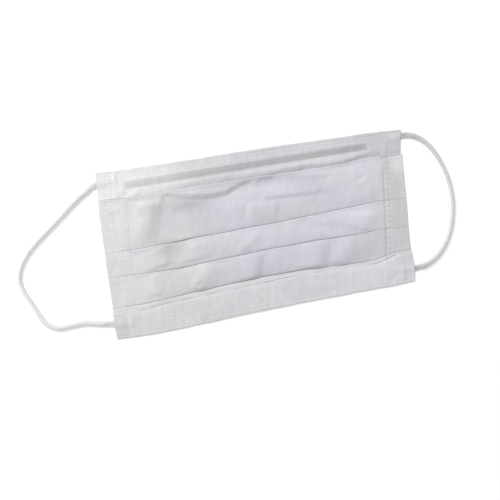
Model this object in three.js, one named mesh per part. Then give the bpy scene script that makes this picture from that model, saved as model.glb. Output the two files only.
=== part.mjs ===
// Pleated surgical face mask, folded flat and lying on its inner face.
// Millimetres. +X runs across the face (the width), +Y towards the nose edge, +Z up through the outer face.
// The origin is the middle of the footprint, on the surface that the mask lies on.
import * as THREE from "three";

// ---- driving dimensions ------------------------------------------------------------------
const WALL = 1.0; // every cloth layer
const GAP = 0.3; // clearance between layers, and between pieces that meet
const LAYER = WALL + GAP; // rise from one layer of a pleat to the next
const HOLLOW = WALL + 2 * GAP; // space between the two layers of a folded hem
const TUCK = 3.4; // how far the panel reaches in between the layers of a hem
const PLEAT_DEPTH = 9.0; // visible fold edge back to the hidden return fold
const PLEAT_LIFT = 0.9; // a pleat springs up this much more mid-width than at the side bands
const CHEEK_PUFF = 1.1; // crown of the wide upper section between the nose hem and the first pleat
const PLEAT_PUFF = 0.45; // crown of the narrow sections between pleats
const CREASE_DEPTH = 0.8; // soft crease that runs across the upper section
const CREASE_HALF = 2.4; // its half width
const BAND_EDGE = 1.6; // side band, thickness at the outer edge
const BAND_RIDGE = 3.0; // and the most it keeps at the inner edge, where a pleat is pressed into it
const WIRE_WIDTH = 3.2; // flat nose wire inside the nose hem
const WIRE_THICK = HOLLOW - 2 * GAP;
const CORD = 2.6; // round knitted ear elastic
const CORD_FLAT_WIDTH = 3.4; // its ends, pressed flat where they are welded into the hems
const CORD_FLAT_THICK = HOLLOW - 2 * GAP;
const CORD_TAPER = 5; // length over which the round elastic turns flat
const COLUMNS = 14; // spans across the width

// The lines that run across the mask, each as y at a few places across the width:
// nose edge, cut edge of the nose hem, the three pleat edges, cut edge of the chin hem, chin edge.
const LINES = [
  { x: -88, nose: 45.3, noseCut: 30.4, p1: 2.2, p2: -11.0, p3: -27.8, chinCut: -31.6, chin: -45.0 },
  { x: -72, nose: 45.0, noseCut: 29.9, p1: 1.8, p2: -11.6, p3: -28.2, chinCut: -31.2, chin: -45.7 },
  { x: -56, nose: 45.1, noseCut: 30.2, p1: 2.4, p2: -12.1, p3: -27.5, chinCut: -30.2, chin: -45.7 },
  { x: -38, nose: 45.1, noseCut: 30.5, p1: 3.1, p2: -11.5, p3: -26.5, chinCut: -29.5, chin: -45.2 },
  { x: -20, nose: 45.6, noseCut: 30.7, p1: 3.35, p2: -10.85, p3: -25.5, chinCut: -29, chin: -44.6 },
  { x: -4, nose: 45.7, noseCut: 30.8, p1: 3.8, p2: -10.25, p3: -25, chinCut: -28.6, chin: -44.3 },
  { x: 12, nose: 45.8, noseCut: 30.7, p1: 4.3, p2: -10, p3: -24.8, chinCut: -27.8, chin: -44.1 },
  { x: 32, nose: 45.8, noseCut: 30.6, p1: 5.0, p2: -9.8, p3: -25.4, chinCut: -27.9, chin: -43.9 },
  { x: 52, nose: 45.8, noseCut: 31.4, p1: 5.95, p2: -10.25, p3: -26.6, chinCut: -28.8, chin: -43.9 },
  { x: 68, nose: 45.8, noseCut: 32.0, p1: 6.4, p2: -9.9, p3: -26.4, chinCut: -29, chin: -44.0 },
  { x: 78, nose: 45.5, noseCut: 31.3, p1: 6.3, p2: -10.3, p3: -24.2, chinCut: -25.8, chin: -43.9 },
  { x: 88, nose: 45.1, noseCut: 30.9, p1: 6.0, p2: -10.4, p3: -23.6, chinCut: -24.8, chin: -43.6 },
];

// The lines that run down the mask, each as x at a few heights: outer and inner edge of each side band,
// and the ends of the two hems, which stand a little in or out of the bands.
const SIDES = [
  { y: 46, left: -87.9, leftInner: -74.2, rightInner: 73.4, right: 86.4, hemLeft: -88.0, hemRight: 86.5 },
  { y: 30, left: -88.9, leftInner: -74.4, rightInner: 73.2, right: 86.4, hemLeft: -88.6, hemRight: 85.1 },
  { y: 4, left: -89.1, leftInner: -75.0, rightInner: 72.6, right: 86.9, hemLeft: -89.1, hemRight: 86.3 },
  { y: -15, left: -89.0, leftInner: -75.6, rightInner: 71.8, right: 86.9, hemLeft: -89.0, hemRight: 86.8 },
  { y: -28, left: -88.8, leftInner: -76.2, rightInner: 71.0, right: 87.4, hemLeft: -89.0, hemRight: 87.5 },
  { y: -35, left: -89.0, leftInner: -76.4, rightInner: 70.8, right: 87.9, hemLeft: -89.0, hemRight: 88.2 },
  { y: -46, left: -88.6, leftInner: -76.4, rightInner: 70.8, right: 87.6, hemLeft: -88.7, hemRight: 87.6 },
];

// The nose wire's middle line, slightly askew in its hem.
const WIRE = [
  { x: -74.0, y: 36.9 },
  { x: 64.5, y: 38.8 },
];

// The route of each ear loop from its upper weld to its lower one, seen from above. The first and last rows
// lie inside the hems; the rest lies loose on the surface.
const LOOP_LEFT = [
  { x: -80.6, y: 40.5 }, { x: -87.4, y: 39.4 }, { x: -92.0, y: 37.6 }, { x: -97.0, y: 34.9 }, { x: -102.6, y: 30.8 },
  { x: -108.0, y: 26.4 }, { x: -113.3, y: 22.0 }, { x: -118.7, y: 17.8 }, { x: -124.0, y: 13.5 }, { x: -129.0, y: 8.5 },
  { x: -133.1, y: 2.5 }, { x: -134.9, y: -4.0 }, { x: -133.5, y: -10.5 }, { x: -130.6, y: -17.0 }, { x: -127.8, y: -23.7 },
  { x: -124.4, y: -29.5 }, { x: -119.1, y: -32.7 }, { x: -112.0, y: -32.6 }, { x: -104.8, y: -32.6 }, { x: -98.2, y: -34.2 },
  { x: -91.6, y: -35.8 }, { x: -87.8, y: -36.5 }, { x: -80.8, y: -37.4 },
];
const LOOP_RIGHT = [
  { x: 78.8, y: 40.0 }, { x: 85.4, y: 41.4 }, { x: 90.0, y: 41.5 }, { x: 94.9, y: 40.2 }, { x: 100.6, y: 36.5 },
  { x: 105.2, y: 31.3 }, { x: 108.9, y: 25.3 }, { x: 111.9, y: 19.0 }, { x: 114.0, y: 12.5 }, { x: 115.3, y: 5.7 },
  { x: 115.7, y: -1.3 }, { x: 115.0, y: -8.4 }, { x: 113.4, y: -15.3 }, { x: 110.7, y: -21.8 }, { x: 106.9, y: -27.4 },
  { x: 101.9, y: -31.9 }, { x: 95.9, y: -34.9 }, { x: 90.0, y: -36.0 }, { x: 86.6, y: -36.0 }, { x: 79.6, y: -35.2 },
];

// ---- helpers -----------------------------------------------------------------------------
// A table's column at a place between its rows. Rows run up or down in the key column.
function at(table, key, column, where) {
  const up = table[1][key] > table[0][key];
  let i = 0;
  while (i < table.length - 2 && (up ? where > table[i + 1][key] : where < table[i + 1][key])) i++;
  const a = table[i], b = table[i + 1];
  const t = THREE.MathUtils.clamp((where - a[key]) / (b[key] - a[key]), 0, 1);
  return THREE.MathUtils.lerp(a[column], b[column], t);
}
const line = (column, x) => at(LINES, "x", column, x);
const side = (column, y) => at(SIDES, "y", column, y);
const lerp = THREE.MathUtils.lerp;
const smooth = (t) => THREE.MathUtils.smoothstep(t, 0, 1);

// Closed surface through a row of rings. Each ring lists one face of the piece and then the other one backwards,
// so the two ends close as a strip from one face to the other.
function skin(rings) {
  const count = rings[0].length, half = count / 2;
  const position = rings.flat().flatMap((p) => [p.x, p.y, p.z]);
  const index = [];
  const quad = (a, b, c, d) => index.push(a, b, c, a, c, d);
  for (let r = 0; r < rings.length - 1; r++)
    for (let i = 0; i < count; i++) {
      const j = (i + 1) % count, here = r * count, next = here + count;
      quad(here + i, next + i, next + j, here + j);
    }
  const last = (rings.length - 1) * count;
  for (let i = 0; i < half - 1; i++) {
    const m = count - 1 - i;
    quad(i, i + 1, m - 1, m);
    quad(last + i, last + m, last + m - 1, last + i + 1);
  }
  let volume = 0;
  const v = (k) => new THREE.Vector3().fromArray(position, 3 * k);
  for (let k = 0; k < index.length; k += 3)
    volume += v(index[k]).dot(v(index[k + 1]).cross(v(index[k + 2])));
  if (volume < 0) index.reverse();
  const geometry = new THREE.BufferGeometry();
  geometry.setAttribute("position", new THREE.Float32BufferAttribute(position, 3));
  geometry.setIndex(index);
  geometry.computeVertexNormals();
  return geometry;
}

// The two faces of a layer whose middle line in the YZ plane is given, as one ring.
function layerRing(middle, thickness, xOf) {
  const n = middle.length, over = [], under = [];
  for (let i = 0; i < n; i++) {
    const a = middle[Math.max(i - 1, 0)], b = middle[i], c = middle[Math.min(i + 1, n - 1)];
    const before = new THREE.Vector2(b.y - a.y, b.z - a.z).normalize();
    const after = new THREE.Vector2(c.y - b.y, c.z - b.z).normalize();
    if (i === 0) before.copy(after);
    if (i === n - 1) after.copy(before);
    const along = before.clone().add(after).normalize();
    const reach = thickness / 2 / Math.max(0.8, along.dot(before));
    const ny = -along.y * reach, nz = along.x * reach;
    over.push(new THREE.Vector3(xOf(b.y + ny), b.y + ny, b.z + nz));
    under.push(new THREE.Vector3(xOf(b.y - ny), b.y - ny, b.z - nz));
  }
  return over.concat(under.reverse());
}

// A cloth layer carried across the width: leftOf and rightOf give its ends at any height y.
function cloth(middleAt, thickness, leftOf, rightOf, columns = COLUMNS) {
  const rings = [];
  for (let k = 0; k <= columns; k++) {
    const u = k / columns, x = lerp(leftOf(0), rightOf(0), u);
    rings.push(layerRing(middleAt(x, u), thickness, (y) => lerp(leftOf(y), rightOf(y), u)));
  }
  return skin(rings);
}

// Points of a half turn in the YZ plane: from straight above the centre round to straight below it, or back up,
// bulging towards +Y (way 1) or -Y (way -1).
function halfTurn(y, z, radius, way, downwards, steps) {
  const points = [];
  for (let i = 1; i < steps; i++) {
    const a = Math.PI * (i / steps);
    points.push({ y: y + way * radius * Math.sin(a), z: z + (downwards ? 1 : -1) * radius * Math.cos(a) });
  }
  return points;
}

// ---- pleated panel -----------------------------------------------------------------------
const LOW = WALL / 2; // middle of a layer that lies on the surface
const INSIDE = WALL + HOLLOW / 2; // middle of the space inside a hem
const swell = (u) => 1 - Math.pow(2 * u - 1, 4); // 0 at the side bands, 1 mid-width

// Height of the lowest layer of a pleat's stack, whose layers all rise together towards the fold edge.
const stackBase = (y, edge, u) => LOW + (PLEAT_LIFT * swell(u) * (edge + PLEAT_DEPTH - y)) / PLEAT_DEPTH;

// The visible upper section, from inside the nose hem down to where the first pleat's stack starts.
function upperSection(x, u) {
  const cut = line("noseCut", x), edge = line("p1", x), stack = edge + PLEAT_DEPTH;
  const points = [{ y: cut + TUCK, z: INSIDE }, { y: cut - 0.2, z: INSIDE }];
  const rows = 10, end = edge + GAP + LAYER;
  const creaseY = 21.2 - 0.1 * x;
  const creaseShare = CREASE_DEPTH * smooth((x + 66) / 16) * (1 - smooth((x - 30) / 18));
  for (let i = 1; i <= rows; i++) {
    const t = i / rows, y = lerp(cut - 0.2, end, t);
    const flat = y > stack
      ? lerp(INSIDE, LOW + 2 * LAYER, smooth((cut - y) / (cut - stack)))
      : stackBase(y, edge, u) + 2 * LAYER;
    const crown = CHEEK_PUFF * swell(u) * Math.pow(Math.sin(Math.PI * Math.min(1, t)), 0.7);
    const crease = creaseShare * Math.exp(-Math.pow((y - creaseY) / CREASE_HALF, 2));
    points.push({ y, z: flat + (i === rows ? 0 : crown - Math.min(crease, crown)) });
  }
  return points;
}

// One pleat: over the fold edge, back under itself to the return fold, and forward again on the lowest layer.
function pleat(edge, u) {
  const front = edge + WALL / 2 + LAYER / 2, back = edge + PLEAT_DEPTH - WALL / 2 - LAYER / 2;
  const f = stackBase(front, edge, u), b = stackBase(back, edge, u);
  return [
    { y: front, z: f + 2 * LAYER },
    ...halfTurn(front, f + 1.5 * LAYER, LAYER / 2, -1, true, 4),
    { y: front, z: f + LAYER },
    { y: back, z: b + LAYER },
    ...halfTurn(back, b + 0.5 * LAYER, LAYER / 2, 1, true, 4),
    { y: back, z: b },
    { y: edge, z: stackBase(edge, edge, u) },
  ];
}

// The visible section between two pleats: from under the upper fold it climbs on to the next pleat's stack.
function betweenPleats(upperEdge, lowerEdge, u) {
  const points = [], from = stackBase(upperEdge, upperEdge, u), stack = lowerEdge + PLEAT_DEPTH;
  const end = lowerEdge + WALL / 2 + LAYER / 2 + 0.6;
  for (const t of [0.2, 0.42, 0.62, 0.82]) {
    const y = lerp(upperEdge, end, t);
    const flat = y > stack
      ? lerp(from, LOW + 2 * LAYER, (upperEdge - y) / (upperEdge - stack))
      : stackBase(y, lowerEdge, u) + 2 * LAYER;
    points.push({ y, z: flat + PLEAT_PUFF * swell(u) * Math.sin(Math.PI * t) });
  }
  return points;
}

function panelMiddle(x, u) {
  const e1 = line("p1", x), e2 = line("p2", x), e3 = line("p3", x), cut = line("chinCut", x);
  return [
    ...upperSection(x, u).slice(0, -1),
    ...pleat(e1, u),
    ...betweenPleats(e1, e2, u),
    ...pleat(e2, u),
    ...betweenPleats(e2, e3, u),
    ...pleat(e3, u),
    { y: cut + 0.5, z: INSIDE },
    { y: cut - TUCK, z: INSIDE },
  ];
}

// ---- hems --------------------------------------------------------------------------------
const TURN = (WALL + HOLLOW) / 2; // radius of a hem's fold, on its middle line
function noseHemMiddle(x) {
  const centre = line("nose", x) - WALL / 2 - TURN, cut = line("noseCut", x);
  return [
    { y: cut + 0.6, z: LOW },
    { y: lerp(cut, centre, 0.5), z: LOW },
    { y: centre, z: LOW },
    ...halfTurn(centre, LOW + TURN, TURN, 1, false, 5),
    { y: centre, z: LOW + 2 * TURN },
    { y: lerp(centre, cut, 0.5), z: LOW + 2 * TURN },
    { y: cut, z: LOW + 2 * TURN },
  ];
}
function chinHemMiddle(x) {
  const centre = line("chin", x) + WALL / 2 + TURN, cut = line("chinCut", x);
  return [
    { y: cut, z: LOW + 2 * TURN },
    { y: lerp(cut, centre, 0.5), z: LOW + 2 * TURN },
    { y: centre, z: LOW + 2 * TURN },
    ...halfTurn(centre, LOW + TURN, TURN, -1, true, 5),
    { y: centre, z: LOW },
    { y: lerp(centre, cut, 0.5), z: LOW },
    { y: cut - 0.6, z: LOW },
  ];
}

// ---- side bands --------------------------------------------------------------------------
// The pressed and welded side: pleat layers squeezed to a thin edge, with low ridges where the pleats run in.
function sideBand(outer, inner) {
  const columns = 4, rings = [];
  for (let k = 0; k <= columns; k++) {
    const w = k / columns; // 0 at the inner edge, 1 at the outer edge
    const xAt = (y) => lerp(side(inner, y), side(outer, y), w);
    const x = xAt(0);
    const e = [line("p1", x), line("p2", x), line("p3", x)];
    const top = line("noseCut", x) - GAP, bottom = line("chinCut", x) + GAP;
    const rows = [{ y: top, h: 2.3 }, { y: lerp(top, e[0], 0.35), h: BAND_RIDGE }, { y: e[0] + 5, h: BAND_RIDGE }];
    for (const edge of e) {
      rows.push({ y: edge + 0.5, h: BAND_RIDGE }, { y: edge - 0.4, h: BAND_EDGE });
      if (edge !== e[2]) rows.push({ y: edge - 3, h: lerp(BAND_EDGE, BAND_RIDGE, 0.45) }, { y: edge - 6.5, h: BAND_RIDGE });
    }
    rows.push({ y: Math.min(bottom, e[2] - 0.9), h: BAND_EDGE + 0.2 });
    const over = rows.map((r) => new THREE.Vector3(xAt(r.y), r.y, lerp(r.h, BAND_EDGE, smooth(w))));
    const under = rows.map((r) => new THREE.Vector3(xAt(r.y), r.y, 0)).reverse();
    rings.push(over.concat(under));
  }
  return skin(rings);
}

// ---- ear loops ---------------------------------------------------------------------------
// Round elastic lying on the surface, pressed flat where each end lies inside a hem.
function earLoop(route) {
  const n = route.length;
  const curve = new THREE.CatmullRomCurve3(
    route.map((p, i) => new THREE.Vector3(p.x, p.y, i < 2 || i > n - 3 ? INSIDE : CORD / 2)),
    false, "centripetal");
  const length = curve.getLength(), steps = 46, rings = [];
  const flatUntil = 8.6; // from the end, past the mask's edge
  for (let k = 0; k <= steps; k++) {
    const s = (length * k) / steps;
    const centre = curve.getPointAt(k / steps), along = curve.getTangentAt(k / steps);
    const round = smooth((Math.min(s, length - s) - flatUntil) / CORD_TAPER);
    const halfWide = lerp(CORD_FLAT_WIDTH, CORD, round) / 2, halfThick = lerp(CORD_FLAT_THICK, CORD, round) / 2;
    const z = lerp(INSIDE, CORD / 2, round);
    const across = new THREE.Vector3(-along.y, along.x, 0).normalize();
    const ring = [];
    for (let i = 0; i < 8; i++) {
      const a = (Math.PI / 4) * i;
      ring.push(new THREE.Vector3(centre.x, centre.y, z + halfThick * Math.sin(a)).addScaledVector(across, halfWide * Math.cos(a)));
    }
    rings.push(ring);
  }
  return skin(rings);
}

// ---- assembly ----------------------------------------------------------------------------
const clothColour = new THREE.Color(0.86, 0.86, 0.88), elasticColour = new THREE.Color(0.93, 0.93, 0.93);
function piece(name, geometry, color, roughness, metalness = 0) {
  const mesh = new THREE.Mesh(geometry, new THREE.MeshStandardMaterial({ color, roughness, metalness }));
  mesh.name = name;
  return mesh;
}

const mask = new THREE.Group();
const body = new THREE.Group();
const loops = new THREE.Group();
body.add(
  piece("pleated_panel", cloth(panelMiddle, WALL, (y) => side("leftInner", y) + GAP, (y) => side("rightInner", y) - GAP), clothColour, 0.9),
  piece("nose_hem", cloth(noseHemMiddle, WALL, (y) => side("hemLeft", y), (y) => side("hemRight", y)), clothColour, 0.9),
  piece("chin_hem", cloth(chinHemMiddle, WALL, (y) => side("hemLeft", y), (y) => side("hemRight", y)), clothColour, 0.9),
  piece("side_band_left", sideBand("left", "leftInner"), clothColour, 0.85),
  piece("side_band_right", sideBand("right", "rightInner"), clothColour, 0.85),
  piece("nose_wire", cloth(
    (x) => { const y = at(WIRE, "x", "y", x); return [{ y: y + WIRE_WIDTH / 2, z: INSIDE }, { y: y - WIRE_WIDTH / 2, z: INSIDE }]; },
    WIRE_THICK, () => WIRE[0].x, () => WIRE[1].x, 4), new THREE.Color(0.7, 0.7, 0.72), 0.5, 0.1),
);
loops.add(
  piece("ear_loop_left", earLoop(LOOP_LEFT), elasticColour, 0.95),
  piece("ear_loop_right", earLoop(LOOP_RIGHT), elasticColour, 0.95),
);
mask.add(body, loops);

export default mask;
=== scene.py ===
"""Looks of a pleated surgical face mask that lies flat on its inner face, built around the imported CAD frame.

Every piece is a closed mesh worked out from short tables in millimetres: +X across the face, +Y towards the nose
edge, +Z up through the outer face. Meshes are scaled to metres when they are made.
"""

import math

import bpy
import numpy as np
from mathutils import Matrix, Vector


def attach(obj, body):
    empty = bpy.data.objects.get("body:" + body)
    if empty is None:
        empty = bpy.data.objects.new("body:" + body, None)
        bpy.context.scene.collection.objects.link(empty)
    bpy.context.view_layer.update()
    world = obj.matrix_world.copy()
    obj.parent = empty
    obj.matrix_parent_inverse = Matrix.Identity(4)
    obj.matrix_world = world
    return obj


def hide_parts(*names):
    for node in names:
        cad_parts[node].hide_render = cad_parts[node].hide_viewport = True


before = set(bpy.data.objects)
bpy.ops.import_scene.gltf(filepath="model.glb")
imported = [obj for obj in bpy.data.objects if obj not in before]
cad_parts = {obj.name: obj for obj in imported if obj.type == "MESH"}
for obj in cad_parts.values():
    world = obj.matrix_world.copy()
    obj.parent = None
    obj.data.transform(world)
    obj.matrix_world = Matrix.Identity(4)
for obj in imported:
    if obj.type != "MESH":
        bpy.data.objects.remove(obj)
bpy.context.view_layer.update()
MM = 0.001
scene = bpy.context.scene

# ---- camera --------------------------------------------------------------------------------------------------
# Where the lens stands and which way it looks: right, down and forward, as rows.
LENS_AT = (-168.734, 105.429, 540.636)
LENS_ROWS = (
    (0.94718445, -0.10735252, 0.30218712),
    (-0.16107869, -0.97407438, 0.15884822),
    (0.27729997, -0.19913447, -0.93992031),
)
camera_data = bpy.data.cameras.new("camera")
camera_data.sensor_width = 36.0
camera_data.lens = 75.17
camera_data.clip_start, camera_data.clip_end = 0.01, 20.0
camera = bpy.data.objects.new("camera", camera_data)
right, down, forward = (Vector(r) for r in LENS_ROWS)
camera.matrix_world = Matrix.Translation(Vector(LENS_AT) * MM) @ Matrix((right, -down, -forward)).transposed().to_4x4()
scene.collection.objects.link(camera)
scene.camera = camera

# ---- the CAD model's tables, in millimetres ------------------------------------------------------------------
# The lines that run across the mask, each as y at a few places across the width.
LINES = [
    dict(x=-88, nose=45.3, noseCut=30.4, p1=2.2, p2=-11.0, p3=-27.8, chinCut=-31.6, chin=-45.0),
    dict(x=-72, nose=45.0, noseCut=29.9, p1=1.8, p2=-11.6, p3=-28.2, chinCut=-31.2, chin=-45.7),
    dict(x=-56, nose=45.1, noseCut=30.2, p1=2.4, p2=-12.1, p3=-27.5, chinCut=-30.2, chin=-45.7),
    dict(x=-38, nose=45.1, noseCut=30.5, p1=3.1, p2=-11.5, p3=-26.5, chinCut=-29.5, chin=-45.2),
    dict(x=-20, nose=45.6, noseCut=30.7, p1=3.35, p2=-10.85, p3=-25.5, chinCut=-29, chin=-44.6),
    dict(x=-4, nose=45.7, noseCut=30.8, p1=3.8, p2=-10.25, p3=-25, chinCut=-28.6, chin=-44.3),
    dict(x=12, nose=45.8, noseCut=30.7, p1=4.3, p2=-10, p3=-24.8, chinCut=-27.8, chin=-44.1),
    dict(x=32, nose=45.8, noseCut=30.6, p1=5.0, p2=-9.8, p3=-25.4, chinCut=-27.9, chin=-43.9),
    dict(x=52, nose=45.8, noseCut=31.4, p1=5.95, p2=-10.25, p3=-26.6, chinCut=-28.8, chin=-43.9),
    dict(x=68, nose=45.8, noseCut=32.0, p1=6.4, p2=-9.9, p3=-26.4, chinCut=-29, chin=-44.0),
    dict(x=78, nose=45.5, noseCut=31.3, p1=6.3, p2=-10.3, p3=-24.2, chinCut=-25.8, chin=-43.9),
    dict(x=88, nose=45.1, noseCut=30.9, p1=6.0, p2=-10.4, p3=-23.6, chinCut=-24.8, chin=-43.6),
]
# The lines that run down the mask, each as x at a few heights, from the bottom up.
SIDES = [
    dict(y=-46, left=-88.6, leftInner=-76.4, rightInner=70.8, right=87.6, hemLeft=-88.7, hemRight=87.6),
    dict(y=-35, left=-89.0, leftInner=-76.4, rightInner=70.8, right=87.9, hemLeft=-89.0, hemRight=88.2),
    dict(y=-28, left=-88.8, leftInner=-76.2, rightInner=71.0, right=87.4, hemLeft=-89.0, hemRight=87.5),
    dict(y=-15, left=-89.0, leftInner=-75.6, rightInner=71.8, right=86.9, hemLeft=-89.0, hemRight=86.8),
    dict(y=4, left=-89.1, leftInner=-75.0, rightInner=72.6, right=86.9, hemLeft=-89.1, hemRight=86.3),
    dict(y=30, left=-88.9, leftInner=-74.4, rightInner=73.2, right=86.4, hemLeft=-88.6, hemRight=85.1),
    dict(y=46, left=-87.9, leftInner=-74.2, rightInner=73.4, right=86.4, hemLeft=-88.0, hemRight=86.5),
]
WIRE = [dict(x=-74.0, y=36.9), dict(x=64.5, y=38.8)]
LOOP_LEFT = [
    (-80.6, 40.5), (-87.4, 39.4), (-92.0, 37.6), (-97.0, 34.9), (-102.6, 30.8), (-108.0, 26.4), (-113.3, 22.0),
    (-118.7, 17.8), (-124.0, 13.5), (-129.0, 8.5), (-133.1, 2.5), (-134.9, -4.0), (-133.5, -10.5), (-130.6, -17.0),
    (-127.8, -23.7), (-124.4, -29.5), (-119.1, -32.7), (-112.0, -32.6), (-104.8, -32.6), (-98.2, -34.2),
    (-91.6, -35.8), (-87.8, -36.5), (-80.8, -37.4),
]
LOOP_RIGHT = [
    (78.8, 40.0), (85.4, 41.4), (90.0, 41.5), (94.9, 40.2), (100.6, 36.5), (105.2, 31.3), (108.9, 25.3),
    (111.9, 19.0), (114.0, 12.5), (115.3, 5.7), (115.7, -1.3), (115.0, -8.4), (113.4, -15.3), (110.7, -21.8),
    (106.9, -27.4), (101.9, -31.9), (95.9, -34.9), (90.0, -36.0), (86.6, -36.0), (79.6, -35.2),
]
PLEAT_DEPTH = 9.0

# ---- numbers of the soft surface, in millimetres ---------------------------------------------------------------
CLOTH = 0.32  # one folded layer of the three bonded plies
LOW = 0.20  # middle of a layer that lies on the surface
TUCK = 3.4  # how far the panel reaches in between a hem's layers
IN_HEM = 0.38  # the panel's height inside a hem, above LOW
HEM_TOP = 0.95  # middle of a hem's upper layer where it only covers the panel's edge


# ---- helpers -------------------------------------------------------------------------------------------------
def smooth(t):
    t = np.clip(t, 0.0, 1.0)
    return t * t * (3 - 2 * t)


def mix(a, b, t):
    return a + (b - a) * t


def cubic(knots, values):
    """A smooth line through the knots. Past both ends it goes on straight."""
    k, v = np.asarray(knots, float), np.asarray(values, float)
    step = np.diff(v) / np.diff(k)
    slope = np.concatenate([[step[0]], (step[1:] * np.diff(k)[:-1] + step[:-1] * np.diff(k)[1:]) / (k[2:] - k[:-2]), [step[-1]]])

    def at(q):
        q = np.asarray(q, float)
        i = np.clip(np.searchsorted(k, q) - 1, 0, len(k) - 2)
        h = k[i + 1] - k[i]
        t = np.clip((q - k[i]) / h, 0, 1)
        inside = (
            (2 * t**3 - 3 * t**2 + 1) * v[i]
            + (t**3 - 2 * t**2 + t) * h * slope[i]
            + (-2 * t**3 + 3 * t**2) * v[i + 1]
            + (t**3 - t**2) * h * slope[i + 1]
        )
        return inside + np.minimum(q - k[0], 0) * slope[0] + np.maximum(q - k[-1], 0) * slope[-1]

    return at


def column(table, key, name):
    return cubic([r[key] for r in table], [r[name] for r in table])


def waves(seed, longest, shortest, count=9):
    """A gentle unevenness over the plane, between about -1 and 1, the same at every run."""
    r = np.random.default_rng(seed)
    length = np.exp(r.uniform(math.log(shortest), math.log(longest), count))
    turn, phase = r.uniform(0, 2 * math.pi, count), r.uniform(0, 2 * math.pi, count)
    share = length / length.max()
    share = share / np.sqrt((share**2).sum() / 2) * 0.5

    def at(x, y=0.0):
        total = 0.0
        for n in range(count):
            total = total + share[n] * np.sin(2 * math.pi * (x * math.cos(turn[n]) + y * math.sin(turn[n])) / length[n] + phase[n])
        return total

    return at


def wander(seed, size):
    """A line's small wandering along the width."""
    w = waves(seed, 34.0, 8.0, 7)
    return lambda x: size * w(x)


_line = {name: column(LINES, "x", name) for name in LINES[0] if name != "x"}
_stray = {
    "nose": wander(11, 0.10), "noseCut": wander(12, 0.22), "p1": wander(13, 0.16), "p2": wander(14, 0.16),
    "p3": wander(15, 0.18), "chinCut": wander(16, 0.22), "chin": wander(17, 0.12),
}
side = {name: column(SIDES, "y", name) for name in SIDES[0] if name != "y"}


def line(name, x):
    return _line[name](x) + _stray[name](x)


def wire_y(x):
    a, b = WIRE
    return mix(a["y"], b["y"], (x - a["x"]) / (b["x"] - a["x"]))


FLANKS = {
    "soft": lambda d: np.exp(-(d**2)),
    "ramp": lambda d: np.clip(1 - (np.sqrt(d**2 + 0.01) - 0.1), 0, 1),  # even slope down to a sharp foot
    "cusp": lambda d: np.exp(-1.4 * (np.sqrt(d**2 + 0.004) - 0.063)),  # sharp at the line itself
}


def stroke(x, y, points, port, starboard, height, ends, flanks=("soft", "soft")):
    """A ridge (height above 0) or dent along a line of points: port and starboard are its half widths left and
    right of the way that the line goes, flanks their shapes, and it fades out over ends at its two tips."""
    p = np.asarray(points, float)
    best = np.full(np.shape(x), 1e9)
    where, sign = np.zeros_like(best), np.ones_like(best)
    run, total = 0.0, float(np.linalg.norm(np.diff(p, axis=0), axis=1).sum())
    for a, b in zip(p[:-1], p[1:]):
        d = b - a
        size = float(np.linalg.norm(d))
        t = np.clip(((x - a[0]) * d[0] + (y - a[1]) * d[1]) / size**2, 0, 1)
        dx, dy = x - a[0] - t * d[0], y - a[1] - t * d[1]
        away = np.hypot(dx, dy)
        nearer = away < best
        best = np.where(nearer, away, best)
        where = np.where(nearer, run + t * size, where)
        sign = np.where(nearer, np.sign(d[0] * dy - d[1] * dx), sign)
        run += size
    if ends:
        first, last = ends if isinstance(ends, tuple) else (ends, ends)
        fade = smooth(where / first + 0.1) * smooth((total - where) / last + 0.1)
    else:
        fade = 1.0
    return height * fade * np.where(sign > 0, FLANKS[flanks[0]](best / port), FLANKS[flanks[1]](best / starboard))


def make_piece(name, points, faces, material, values=None):
    """A mesh object in metres from points in millimetres, all smooth, with its faces pointing out."""
    p = np.asarray(points, float)
    f = np.asarray(faces, int)
    a, b, c, d = (p[f[:, i]] for i in range(4))
    volume = (np.einsum("ij,ij->i", a, np.cross(b, c)) + np.einsum("ij,ij->i", a, np.cross(c, d))).sum()
    if volume < 0:
        f = f[:, ::-1]
    mesh = bpy.data.meshes.new(name)
    mesh.from_pydata((p * MM).tolist(), [], f.tolist())
    for key, value in (values or {}).items():
        mesh.attributes.new(key, "FLOAT", "POINT").data.foreach_set("value", np.asarray(value, np.float32).ravel())
    mesh.polygons.foreach_set("use_smooth", np.ones(len(mesh.polygons), bool))
    mesh.validate()
    mesh.update()
    piece = bpy.data.objects.new(name, mesh)
    piece.data.materials.append(material)
    scene.collection.objects.link(piece)
    return piece


def ring_faces(rings, count, caps=True):
    """Faces of a closed surface through rings of count points, one after the other."""
    r, i = np.meshgrid(np.arange(rings - 1), np.arange(count), indexing="ij")
    j = (i + 1) % count
    body = np.stack([r * count + i, (r + 1) * count + i, (r + 1) * count + j, r * count + j], -1).reshape(-1, 4)
    if not caps:
        return body
    half = count // 2
    k = np.arange(half - 1)
    m = count - 1 - k
    last = (rings - 1) * count
    start = np.stack([k, k + 1, m - 1, m], -1)
    end = np.stack([last + k, last + m, last + m - 1, last + k + 1], -1)
    return np.concatenate([body, start, end])


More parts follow.
